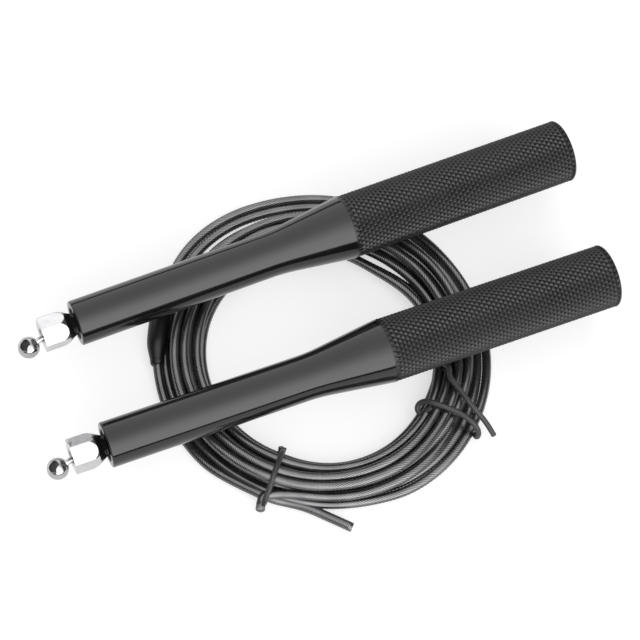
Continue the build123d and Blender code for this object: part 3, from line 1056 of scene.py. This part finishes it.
def tie_wire(name, node, route):
    """Coated wire tie along a route of its own."""
    along = even_line(smooth_line(name + "_route", route, 6), 0.35 * MM)
    caps = ((0.93, 0.06 * MM), (0.55, 0.08 * MM), (0.50, 0.02 * MM), (0.2, 0.05 * MM))
    piece, _, _ = tube(name, along, round_section(TIE_RADIUS, 20), [tie_coat, cable_core], caps, core=2)
    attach(piece, "rope")
    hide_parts(node)
    return piece


def left_tie(line):
    """Wire tie wound once round the bundle, its twisted end standing at the inner edge."""
    outline = bundle_outline(line, LEFT_TIE_ANGLE)
    inner = min(range(len(outline)), key=lambda i: outline[i][0] - 0.35 * outline[i][1])
    outline = outline[inner:] + outline[:inner]
    route = []
    for i in range(27):
        share = i / 26
        r, z = outline_point(outline, share * 0.985)
        drift = 1.3 * (share - 0.5) - 0.9 * max(0.0, (48.0 - r) / 12.0)
        route.append(at(LEFT_TIE_ANGLE + drift, r, max(z, TIE_RADIUS + 0.03)))
    first, last = route[0], route[-1]
    route.insert(0, at(LEFT_TIE_ANGLE - 2.1, first.to_2d().length / MM - 0.5, first.z / MM + 0.4))
    route.append(at(LEFT_TIE_ANGLE - 0.6, last.to_2d().length / MM - 0.7, last.z / MM + 0.5))
    return tie_wire("left_wire_tie", "left_tie", route)


def right_tie(line):
    """Wire tie with a loose bow at the inner side and a long tail across the bundle."""
    outline = bundle_outline(line, RIGHT_TIE_ANGLE)
    top = max(z for _, z in outline)
    inside = min(r for r, _ in outline)
    outside = max(r for r, _ in outline)
    low = TIE_RADIUS + 0.05
    route = [
        at(-48.5, 58.7, 3.2),
        at(-47.0, 55.4, 6.0),
        at(-45.0, 49.0, top + 0.5),
        at(-40.6, 43.8, top + 0.7),
        at(-36.0, 39.6, top + 0.6),
        at(-31.5, 39.4, top + 0.3),
        at(-28.4, inside + 3.0, top - 1.4),
        at(-28.0, inside + 2.0, 3.6),
        at(-30.5, inside + 2.2, low + 0.2),
        at(-37.0, inside + 2.4, low),
        at(-41.5, inside + 3.4, low),
        at(-45.5, 43.0, low),
        at(-49.0, outside - 2.0, low),
        at(-51.8, outside + 0.5, low + 1.6),
        at(-51.2, outside + 0.6, top - 3.2),
        at(-50.2, outside - 2.0, top - 0.4),
        at(-49.2, 46.2, top + 0.2),
        at(-49.9, 40.8, top + 0.1),
        at(-50.3, 38.0, top - 0.1),
        at(-50.4, 35.6, top - 1.2),
        at(-52.0, 33.9, 6.2),
        at(-54.8, 34.1, 5.0),
        at(-56.2, 36.2, 4.8),
        at(-53.8, 37.4, 6.2),
        at(-51.6, 38.0, 7.4),
    ]
    return tie_wire("right_wire_tie", "right_tie", route)


# ---------------------------------------------------------------- stage, sky and camera


# brightness from the front (0) to the back (1), and from the horizon (0) to the top (1)
SKY_FRONT_TO_BACK = [(0.0, 1.0), (0.16, 0.94), (0.34, 0.66), (0.50, 0.46), (0.70, 0.40), (1.0, 0.44)]
SKY_RISE = [(0.0, 0.0), (0.115, 0.0), (0.15, 1.0), (1.0, 1.0)]
# brightness from the left (0) to the right (1)
SKY_ACROSS = [(0.0, 0.05), (0.17, 0.06), (0.30, 1.0), (0.71, 1.0), (0.84, 0.06), (1.0, 0.05)]
SKY_LEVEL = 2.95
FLOOR_GLOW = 0.40            # light the floor gives to the pieces
FLOOR_GLOW_SEEN = 0.60
SKY_SEEN = 0.96


def floor():
    size, steps = 1.6, 8
    points = []
    for i in range(steps + 1):
        for j in range(steps + 1):
            points.append((size * (2 * i / steps - 1), size * (2 * j / steps - 1), 0.0))
    faces = []
    for i in range(steps):
        for j in range(steps):
            corner = i * (steps + 1) + j
            faces.append((corner, corner + steps + 1, corner + steps + 2, corner + 1))
    finish = Finish("pale_floor", (0.46, 0.46, 0.46), 0.7, 0.0, grain=300.0, patches=4.0)
    finish.coloured_between((0.455, 0.455, 0.455), (0.465, 0.465, 0.465))
    finish.shader.inputs["Specular IOR Level"].default_value = 0.0
    seen = finish.nodes.new("ShaderNodeLightPath")
    glow = finish.mixed(seen.outputs["Is Camera Ray"], (FLOOR_GLOW,) * 3, (FLOOR_GLOW_SEEN,) * 3)
    finish.links.new(glow, finish.shader.inputs["Emission Color"])
    finish.shader.inputs["Emission Strength"].default_value = 1.0
    piece = mesh_piece("floor", points, faces, [finish.material], None)


def soft_sky():
    """Big soft light in front, dimmer behind, with a dark band along the horizon; plain pale to the eye."""
    world = bpy.data.worlds.new("soft_sky")
    scene.world = world
    world.use_nodes = True
    nodes, links = world.node_tree.nodes, world.node_tree.links
    back = nodes["Background"]
    back.inputs["Strength"].default_value = 1.0
    place = nodes.new("ShaderNodeTexCoord")
    split = nodes.new("ShaderNodeSeparateXYZ")
    links.new(place.outputs["Generated"], split.inputs["Vector"])

    def ramp(source, low, high, marks):
        spread = nodes.new("ShaderNodeMapRange")
        spread.inputs["From Min"].default_value = low
        spread.inputs["From Max"].default_value = high
        links.new(source, spread.inputs["Value"])
        steps = nodes.new("ShaderNodeValToRGB")
        links.new(spread.outputs["Result"], steps.inputs["Fac"])
        elements = steps.color_ramp.elements
        elements[0].position = marks[0][0]
        elements[1].position = marks[-1][0]
        for position, _ in marks[1:-1]:
            elements.new(position)
        for element, (_, level) in zip(elements, marks):
            element.color = (level, level, level, 1.0)
        return steps.outputs["Color"]

    depth = ramp(split.outputs["Y"], -1.0, 1.0, SKY_FRONT_TO_BACK)
    rise = ramp(split.outputs["Z"], 0.0, 1.0, SKY_RISE)
    across = ramp(split.outputs["X"], -1.0, 1.0, SKY_ACROSS)
    def times(first, second):
        product = nodes.new("ShaderNodeVectorMath")
        product.operation = "MULTIPLY"
        links.new(first, product.inputs[0])
        links.new(second, product.inputs[1])
        return product.outputs["Vector"]

    lit = nodes.new("ShaderNodeVectorMath")
    lit.operation = "SCALE"
    lit.inputs["Scale"].default_value = SKY_LEVEL
    links.new(times(times(depth, rise), across), lit.inputs[0])
    seen = nodes.new("ShaderNodeLightPath").outputs["Is Camera Ray"]
    colour = colour_mix(nodes, links, seen, lit.outputs["Vector"], (SKY_SEEN,) * 3)
    links.new(colour, back.inputs["Color"])


def camera():
    """Looking down on the coil from the front left, a little rolled."""
    elevation, turn, roll = math.radians(66.18), math.radians(36.05), math.radians(13.61)
    target = Vector((0.0002, 0.0052, 0.0188))
    looking = Vector(
        (math.cos(elevation) * math.sin(turn), math.cos(elevation) * math.cos(turn), -math.sin(elevation))
    )
    right = Vector((math.cos(turn), -math.sin(turn), 0))
    upward = right.cross(looking)
    rolled_right = right * math.cos(roll) + upward * math.sin(roll)
    rolled_up = upward * math.cos(roll) - right * math.sin(roll)
    data = bpy.data.cameras.new("camera")
    data.lens = 126.8
    data.sensor_width = 36.0
    data.clip_end = 20.0
    holder = bpy.data.objects.new("camera", data)
    matrix = Matrix((rolled_right, rolled_up, -looking)).transposed().to_4x4()
    matrix.translation = target - looking * 0.6849
    holder.matrix_world = matrix
    scene.collection.objects.link(holder)
    scene.camera = holder


dress_cad_nodes()
floor()
soft_sky()
camera()

for side in ("left", "right"):
    handle_body(side)
    hex_housing(side)
    ball_link(side)
cable_piece, cable_line, cable_length = cable()
sleeve_piece = cable_sleeve(cable_line)
left_tie_piece = left_tie(cable_line)
right_tie_piece = right_tie(cable_line)
print("cable length", round(cable_length, 3))
